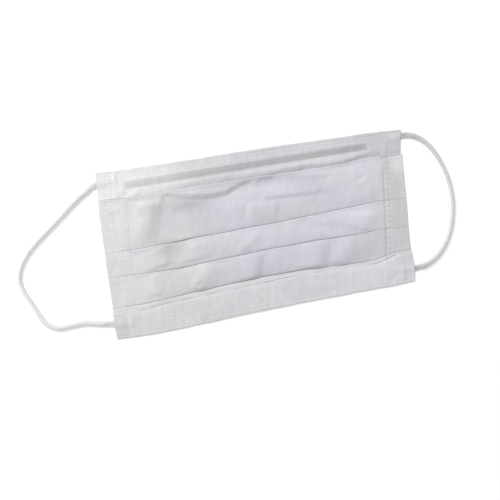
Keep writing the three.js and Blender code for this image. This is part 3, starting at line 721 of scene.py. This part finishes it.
def panel_middle(x, u):
    """The panel's middle line at one place across the width, from inside the nose hem to inside the chin hem."""
    cut, e1, e2, e3, chin = (float(line(n, x)) for n in ("noseCut", "p1", "p2", "p3", "chinCut"))
    thin = CLOTH * float(pressed_thin(u))
    ys, zs = [], []

    def run(y, z):
        ys.append(np.asarray(y, float)), zs.append(np.asarray(z, float))

    run(np.linspace(cut + TUCK, cut + 0.4, 6), np.full(6, LOW + IN_HEM))
    starts, edges = [cut, e1, e2], [e1, e2, e3]
    tables, counts = [UPPER, BETWEEN, BETWEEN], [68, 36, 38]
    for n in range(3):
        start, edge = starts[n], edges[n]
        top_at = lambda y: relief_of(n, tables[n], x, y, (start - y) / (start - edge), u, edge)
        radius_at = lambda y: float((top_at(np.array([y])) - lowest_of(top_at(np.array([y])), u))[0]) / 4
        radius = radius_at(edge + 0.5)
        front = edge + thin / 2 + radius
        back = edge + PLEAT_DEPTH - thin / 2 - radius_at(edge + PLEAT_DEPTH - 0.7)
        # visible layer, closer together near both lines
        share = np.linspace(0, 1, counts[n])
        share = share - 0.11 * np.sin(2 * math.pi * share)
        y = mix(start, front, share)
        y = y[1:] if n else y
        run(y, top_at(y))
        # front fold, between the visible layer and the hidden middle one
        top_front = float(top_at(np.array([front]))[0])
        radius = (top_front - float(lowest_of(np.array([top_front]), u)[0])) / 4
        a = np.linspace(0, math.pi, 9)[1:-1]
        run(front - radius * np.sin(a), top_front - radius + radius * np.cos(a))
        # hidden middle layer, back to the return fold
        y = np.linspace(front, back, 8)
        tops = top_at(y)
        run(y, (tops + lowest_of(tops, u)) / 2)
        top_back = float(tops[-1])
        low_back = float(lowest_of(np.array([top_back]), u)[0])
        r = (top_back - low_back) / 4
        a = np.linspace(0, math.pi, 8)[1:-1]
        run(back + r * np.sin(a), low_back + r + r * np.cos(a))
        # hidden lowest layer, forward to the fold edge, where the next section starts
        y = np.linspace(back, edge, 9)
        low = lowest_of(top_at(y), u)
        next_z = float(relief_of(n + 1, BETWEEN, x, np.array([edge]), np.array([0.0]), u, edges[n + 1])[0]) if n < 2 else LOW + 0.04
        run(y, mix(low, next_z, smooth((edge + 4 - y) / 4)))
    y = np.concatenate([np.linspace(e3, chin + 0.3, 14)[1:], [chin + 0.16, chin + 0.08, chin]])
    t = (e3 - y) / (e3 - chin)
    strip = cubic([r["t"] for r in STRIP], [mix(r["band"], r["middle"], swell(u)) for r in STRIP])(t)
    to_band = min(u, 1 - u) * 148
    strip = strip + mix(0.25, 1.2, smooth(to_band / 14)) * near_of[2](x) * smooth((e3 - y - 0.04) / 0.26) * smooth((y - chin) / 2.2)
    strip = mix(IN_HEM, strip, smooth((y - chin + 0.03) / 0.18))  # it comes up to the hem, and goes in under it
    run(y, LOW + strip)
    run(np.linspace(chin - 0.6, chin - TUCK, 5), np.full(5, LOW + IN_HEM))
    return np.concatenate(ys), np.concatenate(zs)


panel_u = spread_out(176, 1.0 / 320)
rows = []
for u in panel_u:
    x = float(mix(side["leftInner"](0.0), side["rightInner"](0.0), u))
    rows.append(panel_middle(x, u))
panel_y, panel_z = (np.array([r[i] for r in rows]) for i in (0, 1))
u_grid = np.repeat(panel_u[:, None], panel_y.shape[1], axis=1)
panel_x = lambda y: mix(side["leftInner"](y) + 0.02, side["rightInner"](y) - 0.02, u_grid)
# the weld at each side presses the stack together over its last millimetres
from_side = np.minimum(u_grid, 1 - u_grid) * 148
panel_z = LOW + (panel_z - LOW) * mix(0.90, 1.0, smooth(from_side / 1.6))
travel = np.concatenate([np.zeros((len(panel_y), 1)), np.cumsum(np.hypot(np.diff(panel_y, axis=1), np.diff(panel_z, axis=1)), axis=1)], axis=1)
from_cut = np.minimum(travel, travel[:, -1:] - travel)
panel_thick = CLOTH * pressed_thin(u_grid) * round_ends(from_cut, 0.2)
panel_across = panel_x(panel_y)
panel_tone = 0.05 * np.exp(-(((1 - u_grid) * 148 / 0.9) ** 2)) * smooth((26 - panel_y) / 5) * smooth((panel_y + 25) / 4)
panel_tone = panel_tone - 0.05 * smooth((-58 - panel_across) / 14)  # painted light: paler beside the left band
# a faint shade above the long crease, and one across the lowest section
panel_tone = panel_tone + 0.055 * smooth((panel_across + 42) / 12) * smooth((-1 - panel_across) / 8) * smooth((panel_y - 23) / 3)
# soft clouds of painted shade, and painted light below 0, for shading that the relief alone doesn't give: middle, half
# widths, how much darker
for cloud_x, cloud_y, half_x, half_y, much in (
    (9, 22.5, 9, 3.2, -0.09),  # painted light between the two creases
    (31, 23.0, 10, 3.0, 0.09),
    (-41, 21.4, 14, 3.7, 0.25),  # painted shade below the long crease
    (3, 28.0, 12, 2.4, 0.23),  # painted shade where that crease runs in under the hem
    (-54, -0.5, 10, 3.6, 0.19),
    (58, 1.0, 14, 4.5, -0.08),
    (62, 24.0, 15, 7.5, -0.10),  # painted light at the right, below the hem
):
    panel_tone = panel_tone + much * np.exp(-(((panel_across - cloud_x) / half_x) ** 2) - ((panel_y - cloud_y) / half_y) ** 2)
# painted shade across the lowest section
panel_tone = panel_tone + mix(0.02, 0.055, smooth((panel_across + 34) / 20)) * smooth((-9 - panel_y) / 3) * smooth((panel_y + 26) / 2)
panel_tone = panel_tone - 0.06 * smooth((line("p3", panel_across) - panel_y - 0.15) / 0.4) * smooth((panel_across + 66) / 20)  # painted light: paler below the third pleat
# plain turns that strip to the paler left tint: more painted light
panel = cloth_mesh("pleated_panel_cloth", panel_y, panel_z, panel_x, panel_thick, m_panel, {"tone": panel_tone, "plain": 0.7 * smooth((line("p3", panel_across) - panel_y - 0.15) / 0.4)})
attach(panel, "root")
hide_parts("pleated_panel")


# ---- hems ----------------------------------------------------------------------------------------------------
uneven_hem = waves(41, 40.0, 9.0, 12)
uneven_hem_fine = waves(42, 9.0, 3.0, 12)
PATCH = 7.2  # width of the welded patch at each end of a hem, over the elastic's end
GROOVES = [dict(x=-81.2, top=45.0, bottom=18.0, deep=0.07), dict(x=-77.6, top=45.0, bottom=22.0, deep=0.05)]  # pressed lines down the left side
# Folds and lumps of the two hems' upper layers, as in the panel.
NOSE_HEM_FOLDS = [
    dict(way=[(-78.0, 30.2), (-72.5, 32.6)], port=1.2, starboard=1.6, height=-0.20, ends=1.5, flanks=("soft", "soft")),
    dict(way=[(-72.0, 30.8), (-66.0, 32.4)], port=1.4, starboard=1.6, height=0.24, ends=2, flanks=("soft", "soft")),
    dict(way=[(-84.5, 33.6), (-84.0, 43.0)], port=0.9, starboard=0.9, height=-0.12, ends=2, flanks=("soft", "soft")),
    dict(way=[(-40.0, 33.2), (-22.0, 33.0), (-6.0, 33.8)], port=1.8, starboard=2.6, height=-0.22, ends=8, flanks=("soft", "soft")),
]
CHIN_HEM_FOLDS = [
    dict(way=[(10.0, -34.6), (26.0, -36.2), (40.0, -36.6)], port=2.4, starboard=3.0, height=0.22, ends=6, flanks=("soft", "soft")),
    dict(way=[(69.5, -41.8), (78.8, -36.3)], port=2.2, starboard=1.6, height=-0.20, ends=3, flanks=("soft", "soft")),
    dict(way=[(-81.6, -34.0), (-81.0, -45.0)], port=0.5, starboard=3.5, height=-0.14, ends=2, flanks=("ramp", "ramp")),
]


def side_grooves(x, y):
    total = 0.0
    for g in GROOVES:
        on = smooth((g["top"] - y) / 1.5) * smooth((y - g["bottom"]) / 8.0)
        total = total - g["deep"] * on * np.exp(-(((x - g["x"] - 0.02 * (y - 40)) / 0.8) ** 2))
    return total


def cord_bump(x, y, route, tip):
    """The lump that an elastic's flat end makes in the layer over it."""
    return stroke(x, y, [route[0], route[1], (tip * 90.0, route[1][1] + (route[1][1] - route[0][1]) * 0.3)], 2.3, 2.3, 1.0, 0)


def hem_top(x, y, v, width, nose):
    """Height of a hem's upper layer, its middle. v is the distance from the fold edge."""
    left_x, right_x = side["hemLeft"](y), side["hemRight"](y)
    end = np.minimum(x - left_x, right_x - x)
    z = HEM_TOP + 0.10 * (1 - np.exp(-v / 1.2))
    z = z + 0.12 * smooth((v - 2.0) / 5.0) * smooth((width + 1 - v) / 5.0) * smooth(end / 20.0)
    if nose:
        near = (y - wire_y(x)) / 1.95
        along = smooth((x - WIRE[0]["x"] + 1.2) / 2.4) * smooth((WIRE[1]["x"] + 1.2 - x) / 2.4)
        z = z + 0.24 * along * np.exp(-(near**4))
        z = z - (0.07 * np.exp(-(((v - 2.3) / 0.45) ** 2)) + 0.05 * np.exp(-(((v - 3.9) / 0.5) ** 2))) * smooth((end - 8) / 4)
        z = z - 0.07 * along * np.exp(-(((y - wire_y(x) + 3.0) / 1.1) ** 2))
        z = mix(z, HEM_TOP - 0.01, np.exp(-(((v - width) / 1.6) ** 2))) + swell_by_hem(x, y)
    else:
        z = z + 0.16 - 0.27 * np.exp(-(((v - width) / 1.2) ** 2))
    for f in NOSE_HEM_FOLDS if nose else CHIN_HEM_FOLDS:
        z = z + stroke(x, y, f["way"], f["port"], f["starboard"], f["height"], f["ends"], f["flanks"])
    z = z + (0.07 * uneven_hem(x, y) + 0.03 * uneven_hem_fine(x, y)) * smooth(end / 8.0) * smooth(v / 2.0)
    # welded ends, pressed against the layer below
    pressed = 1 - smooth((end - PATCH) / 0.9)
    z = z - 0.22 * pressed * smooth(v / 1.5) * smooth((width - v) / 1.0)
    z = z - 0.08 * (1 - smooth(end / 1.2))
    ends = (LOOP_LEFT, LOOP_RIGHT) if nose else (LOOP_LEFT[::-1], LOOP_RIGHT[::-1])
    z = z + 0.42 * (cord_bump(x, y, ends[0], -1) + cord_bump(x, y, ends[1], 1)) * smooth(v / 1.0)
    return np.maximum(z, 0.62) + side_grooves(x, y)


def hem_mesh(name, material, nose):
    us = spread_out(368, 1.0 / 700)
    edge_name, cut_name, sign = ("nose", "noseCut", 1) if nose else ("chin", "chinCut", -1)
    ys, zs = [], []
    for u in us:
        x = float(mix(side["hemLeft"](0.0), side["hemRight"](0.0), u))
        edge, cut = float(line(edge_name, x)), float(line(cut_name, x))
        width = abs(edge - cut)
        # fold: half a turn between the two layers
        start = LOW
        top0 = float(hem_top(x, edge - sign * 0.8, 0.8, width, nose))
        r = (top0 - start) / 2
        centre = edge - sign * (CLOTH / 2 + r)
        low = np.linspace(cut + sign * 0.6, centre, 14)[:-1]
        a = np.linspace(0, math.pi, 11)
        turn_y, turn_z = centre + sign * r * np.sin(a), start + r - r * np.cos(a)
        upper = np.linspace(centre, cut, 52)[1:]
        v = np.abs(edge - upper)
        upper_z = hem_top(np.full_like(upper, x), upper, v, width, nose)
        y = np.concatenate([low, turn_y, upper])
        z = np.concatenate([np.full_like(low, start), turn_z, upper_z])
        ys.append(y), zs.append(z)
    y, z = np.array(ys), np.array(zs)
    grid = np.repeat(us[:, None], y.shape[1], axis=1)
    x_at = lambda yy: mix(side["hemLeft"](yy), side["hemRight"](yy), grid)
    travel = np.concatenate([np.zeros((len(y), 1)), np.cumsum(np.hypot(np.diff(y, axis=1), np.diff(z, axis=1)), axis=1)], axis=1)
    from_end = np.minimum(grid, 1 - grid) * 176
    thick = CLOTH * round_ends(np.minimum(travel, travel[:, -1:] - travel), 0.2) * round_ends(from_end, 0.2)
    x = x_at(y)
    end = np.minimum(x - side["hemLeft"](y), side["hemRight"](y) - x)
    upper_layer = np.zeros_like(y)
    upper_layer[:, 20:] = 1.0
    patch = (1 - smooth((end - PATCH) / 0.7)) * upper_layer
    if nose:
        tone = 0.02 * patch * smooth(x) + 0.04 * smooth((x - 40) / 30) * upper_layer
        near = np.abs(y - wire_y(x)) / 1.95
        along = smooth((x - WIRE[0]["x"] + 1.0) / 2.0) * smooth((WIRE[1]["x"] + 1.5 - x) / 4.0)
        tone = tone + mix(0.25, 0.30, smooth((x + 60) / 110)) * along * np.exp(-(near**4)) * upper_layer
        tone = tone + 0.05 * along * np.exp(-(((y - wire_y(x) + 1.5) / 0.7) ** 2)) * upper_layer
        # the panel's edge shows through where the hem lies over it, and painted light makes the hem's upper layer paler
        # towards its left end
        under = smooth((TUCK + 0.3 - (y - line("noseCut", x))) / 0.8) * smooth((x + 66) / 14)
        tone = tone + 0.035 * under * upper_layer - 0.17 * smooth((-34 - x) / 26) * upper_layer
    else:
        tone = 0.05 * patch + (0.03 * smooth((-30 - x) / 20) - 0.03 * smooth((x + 30) / 20) - 0.06 * smooth((x - 10) / 50)) * upper_layer
    piece = cloth_mesh(name, y, z, x_at, thick, material, {"tone": np.clip(tone, -0.4, 0.6)})
    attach(piece, "root")
    print(name, y.shape, "flat length", round(float(np.median(travel[:, -1])), 1))
    return piece, float(np.median(travel[:, -1]))


nose_hem, nose_length = hem_mesh("nose_hem_cloth", m_hem, True)
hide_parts("nose_hem")
chin_hem, chin_length = hem_mesh("chin_hem_cloth", m_hem, False)
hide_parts("chin_hem")


# ---- side bands ----------------------------------------------------------------------------------------------
def band_height(y, start, edges, chin, soft):
    """Top of the pressed pleats at a side, read down from the nose hem: it steps down at each pleat's edge, over
    the width soft."""
    previous, tables = [start, *edges], [UPPER, BETWEEN, BETWEEN]
    heights = []
    for n in range(3):
        t = (previous[n] - y) / (previous[n] - edges[n])
        heights.append(cubic([r["t"] for r in tables[n]], [r["band"] for r in tables[n]])(np.clip(t, 0, 1)))
    t = np.clip((edges[2] - y) / np.maximum(edges[2] - chin, 0.5), 0, 1)
    heights.append(cubic([r["t"] for r in STRIP], [r["band"] for r in STRIP])(t))
    z = heights[0]
    for n in range(3):
        z = mix(z, heights[n + 1], smooth((edges[n] - y) / soft + 0.5))
    return LOW + z * 0.90 + CLOTH * 0.31


uneven_band = waves(51, 14.0, 3.0, 12)
BAND_FOLDS = [  # small creases that the left band has taken
    dict(way=[(-87.0, 27.6), (-82.0, 28.6), (-77.0, 26.4)], port=1.1, starboard=1.8, height=-0.15, ends=2, flanks=("soft", "ramp")),
    dict(way=[(-88.0, 21.6), (-83.0, 23.6), (-78.0, 23.2)], port=2.0, starboard=1.2, height=0.13, ends=2, flanks=("soft", "ramp")),
    dict(way=[(-86.0, 17.2), (-80.0, 18.0)], port=1.2, starboard=1.8, height=-0.12, ends=2, flanks=("soft", "soft")),
    dict(way=[(-80.5, 12.0), (-80.0, 5.5)], port=1.0, starboard=1.6, height=-0.08, ends=2, flanks=("soft", "soft")),
    dict(way=[(-84.0, -14.0), (-79.5, -17.0)], port=1.2, starboard=1.2, height=-0.11, ends=1.5, flanks=("soft", "soft")),
    dict(way=[(-81.0, -20.0), (-79.0, -26.0)], port=1.3, starboard=1.3, height=0.11, ends=2, flanks=("soft", "ramp")),
]


def band_mesh(name, outer, inner, material, right_side):
    columns, rows = 58, 236
    w = np.concatenate([[0.0], np.linspace(0.008, 0.985, columns - 4), [0.993, 0.998, 1.0]])
    t = np.linspace(0, 1, rows)
    W, T = np.meshgrid(w, t, indexing="ij")
    x0 = mix(side[inner](0.0), side[outer](0.0), W)
    top, bottom = line("noseCut", x0) + 0.5, line("chinCut", x0) - 0.5
    y = mix(top, bottom, T)
    x = mix(side[inner](y), side[outer](y), W)
    edges = [line(n, x0) for n in ("p1", "p2", "p3")]
    near = band_height(y, line("noseCut", x0), edges, line("chinCut", x0), 0.8 if right_side else 0.9)
    flat = 0.80 + 0.05 * uneven_band(x, y)
    for e in edges:
        flat = flat + 0.08 * np.exp(-(((y - e - 1.0) / 1.1) ** 2)) - 0.08 * np.exp(-(((y - e + 0.7) / 0.6) ** 2))
    z = mix(near, flat, smooth(W * 1.25) ** 0.8)
    wide = np.abs(side[outer](y) - side[inner](y))
    d = W * wide  # distance from the inner edge, mm
    # weld: a pressed line of dashes along the inner edge, and a field of small pressed squares
    dash = smooth((np.cos(2 * math.pi * y / 2.3) + 0.25) / 0.5)
    weld = 1.0 if right_side else 0.25
    z = z - weld * (0.10 + 0.12 * dash) * np.exp(-(((d - 0.9) / 0.55) ** 2))
    pitch = 1.9
    squares = smooth((np.cos(2 * math.pi * d / pitch) * 0.9 - 0.1) / 0.5) * smooth((np.cos(2 * math.pi * y / pitch) * 0.9 - 0.1) / 0.5)
    z = z - (0.05 if right_side else 0.025) * squares * smooth((d - 2.2) / 0.6) * smooth((wide - 0.8 - d) / 0.5)
    if right_side:  # short rungs next to the weld line
        rung = smooth((np.cos(2 * math.pi * y / 3.1 + 0.8) - 0.35) / 0.4)
        z = z - 0.08 * rung * smooth((d - 1.4) / 0.4) * smooth((4.8 - d) / 0.8)
    else:
        z = z + side_grooves(x, y) + 0.04 * uneven_band(x + 5, y)
        for f in BAND_FOLDS:
            z = z + stroke(x, y, f["way"], f["port"], f["starboard"], f["height"], f["ends"], f["flanks"])
    cut = line("noseCut", x0)
    z = z + 0.14 * smooth((cut - y + 0.1) / 0.3) * np.exp(-(((cut - y) / 1.5) ** 2))
    z = np.maximum(z, 0.30)
    # rounded outer rim
    rim = np.clip((wide - d) / 0.35, 0, 1)
    z = 0.06 + (z - 0.06) * (0.25 + 0.75 * np.sqrt(1 - (1 - rim) ** 2))
    under = np.stack([x, y, np.full_like(x, 0.05) + 0.06 * (1 - rim)], -1)
    over = np.stack([x, y, z], -1)
    rings = np.concatenate([over, under[:, ::-1]], axis=1)
    tone = 0.02 * np.exp(-(((d - 0.9) / 0.7) ** 2)) * dash + (0.02 if right_side else 0.008) * squares * smooth((d - 2.2) / 0.6)
    if not right_side:
        # painted light: the left band paler towards its top
        tone = tone - 0.06 * smooth((y + 20) / 40)
    if right_side:
        tone = tone - 0.20 * smooth((y - 16) / 9) * smooth((d - 3) / 5)
        tone = tone + 0.09 * np.exp(-(((d - 0.25) / 0.8) ** 2)) * smooth((26 - y) / 5) * smooth((y + 25) / 4)
        tone = tone + 0.06 * rung * smooth((d - 1.4) / 0.4) * smooth((4.8 - d) / 0.8)
    tone = np.concatenate([tone, tone[:, ::-1] * 0], axis=1)
    piece = make_piece(name, rings.reshape(-1, 3), ring_faces(len(w), 2 * rows), material, {"tone": tone})
    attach(piece, "root")
    return piece


band_left = band_mesh("side_band_left_weld", "left", "leftInner", m_band, False)
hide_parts("side_band_left")
band_right = band_mesh("side_band_right_weld", "right", "rightInner", m_band, True)
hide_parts("side_band_right")


# ---- nose wire -----------------------------------------------------------------------------------------------
def wire_mesh():
    """A flat coated strip with a wire along each side of its core, inside the nose hem."""
    rings, segments = 150, 20
    a = np.linspace(0, 2 * math.pi, segments, endpoint=False)
    u = np.concatenate([[0, 0.002, 0.006, 0.012], np.linspace(0.02, 0.98, rings - 8), [0.988, 0.994, 0.998, 1]])
    points = []
    for s in u:
        x = mix(WIRE[0]["x"], WIRE[1]["x"], s)
        tip = math.sqrt(max(0.02, 1 - (1 - min(1, min(s, 1 - s) / 0.011)) ** 2))
        wide = 1.6 * tip
        c, sn = np.cos(a), np.sin(a)
        thick = (0.18 + 0.10 * np.exp(-(((np.abs(c) - 0.72) / 0.22) ** 2))) * tip**0.3
        points.append(np.stack([np.full(segments, x), wire_y(x) + wide * c, 0.68 + thick * np.sign(sn) * np.abs(sn) ** 0.5 + 0.02 * math.sin(x / 9)], -1))
    piece = make_piece("nose_wire_strip", np.array(points).reshape(-1, 3), ring_faces(len(u), segments), m_wire)
    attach(piece, "root")
    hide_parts("nose_wire")
    return piece


wire_strip = wire_mesh()


# ---- floor, light --------------------------------------------------------------------------------------------
def plain_floor():
    size = 3.0
    mesh = bpy.data.meshes.new("floor")
    mesh.from_pydata([(-size, -size, 0), (size, -size, 0), (size, size, 0), (-size, size, 0)], [], [(0, 1, 2, 3)])
    floor = bpy.data.objects.new("floor", mesh)
    material, tree, shader = nodes_of("pale floor")
    shader.inputs["Base Color"].default_value = (0.95, 0.95, 0.95, 1)
    shader.inputs["Emission Color"].default_value = (1, 1, 1, 1)
    shader.inputs["Emission Strength"].default_value = 0.14
    shader.inputs["Roughness"].default_value = 0.9
    shader.inputs["Specular IOR Level"].default_value = 0.1
    mesh.materials.append(material)
    scene.collection.objects.link(floor)


def soft_light(name, at, aim, size, watts, colour=(1, 1, 1)):
    data = bpy.data.lights.new(name, "AREA")
    data.shape, data.size, data.energy, data.color = "DISK", size, watts, colour
    light = bpy.data.objects.new(name, data)
    light.location = at
    light.rotation_mode = "QUATERNION"
    light.rotation_quaternion = (Vector(aim) - Vector(at)).to_track_quat("-Z", "Y")
    scene.collection.objects.link(light)


plain_floor()
soft_light("key", (-1.05, 1.15, 1.20), (0.0, 0.0, 0.0), 0.85, 29.0)
world = bpy.data.worlds.new("studio")
world.use_nodes = True
world.node_tree.nodes["Background"].inputs[0].default_value = (1, 1, 1, 1)
world.node_tree.nodes["Background"].inputs[1].default_value = 0.57
scene.world = world
scene.view_settings.view_transform = "Standard"
scene.view_settings.look = "None"
scene.view_settings.exposure = 0.0
scene.view_settings.gamma = 1.0
